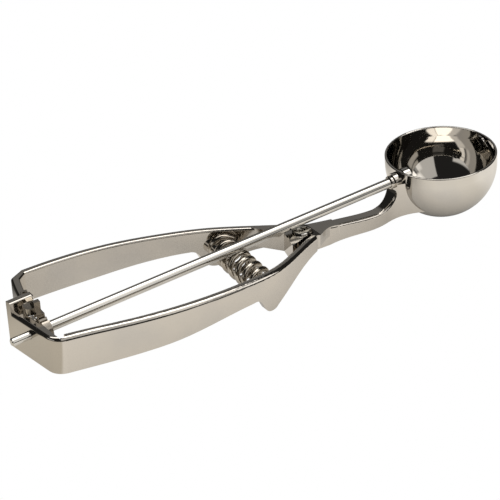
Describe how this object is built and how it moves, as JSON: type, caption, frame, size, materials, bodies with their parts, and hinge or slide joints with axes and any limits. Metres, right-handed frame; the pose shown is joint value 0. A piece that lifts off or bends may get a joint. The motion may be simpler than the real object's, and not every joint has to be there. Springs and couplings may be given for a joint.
{
  "type": "squeeze-handle portion scoop",
  "caption": "Polished ice cream scoop: two sprung handle arms, a rack and pinion, a rod and a scraper blade in a round bowl.",
  "frame": {"origin": "centre of the bowl's ball, on the scraper rod's axis", "axes": "+X along the rod from the rear plate to the bowl, +Z out of the bowl's open side, +Y to the moving arm"},
  "size_m": [0.212, 0.0587, 0.0312],
  "materials": {
    "plated_body": "polished",
    "steel_bowl": "polished",
    "steel_rod": "polished",
    "spring_wire": "bright",
    "gear_metal": "satin"
  },
  "bodies": {
    "frame": {"frame_arm": "plated_body", "bowl": "steel_bowl", "front_bush": "plated_body", "pivot_rivet": "steel_rod", "blade_pivot_pin": "steel_rod", "return_spring": "spring_wire"},
    "lever": {"lever_arm": "plated_body", "rack": "gear_metal", "rack_rivet": "gear_metal"},
    "scraper": {"scraper_rod": "steel_rod", "pinion": "gear_metal", "scraper_blade": "steel_bowl", "blade_hub": "steel_rod"}
  },
  "joints": [
    {"name": "lever_squeeze", "type": "hinge", "parent": "frame", "child": "lever", "pos_m": [-0.0694, -0.0021, -0.00327], "axis": [0.068, 0, 0.9977], "range_deg": [0, 5.4], "stiffness_Nm_per_rad": 1.2, "springref_deg": -2.86, "deforming": ["return_spring"]},
    {"name": "scraper_turn", "type": "hinge", "parent": "frame", "child": "scraper", "pos_m": [0, 0, 0], "axis": [1, 0, 0], "range_deg": [0, 157]}
  ],
  "couplings": [
    {"joint": "scraper_turn", "follows": "lever_squeeze", "ratio": 29.027}
  ]
}
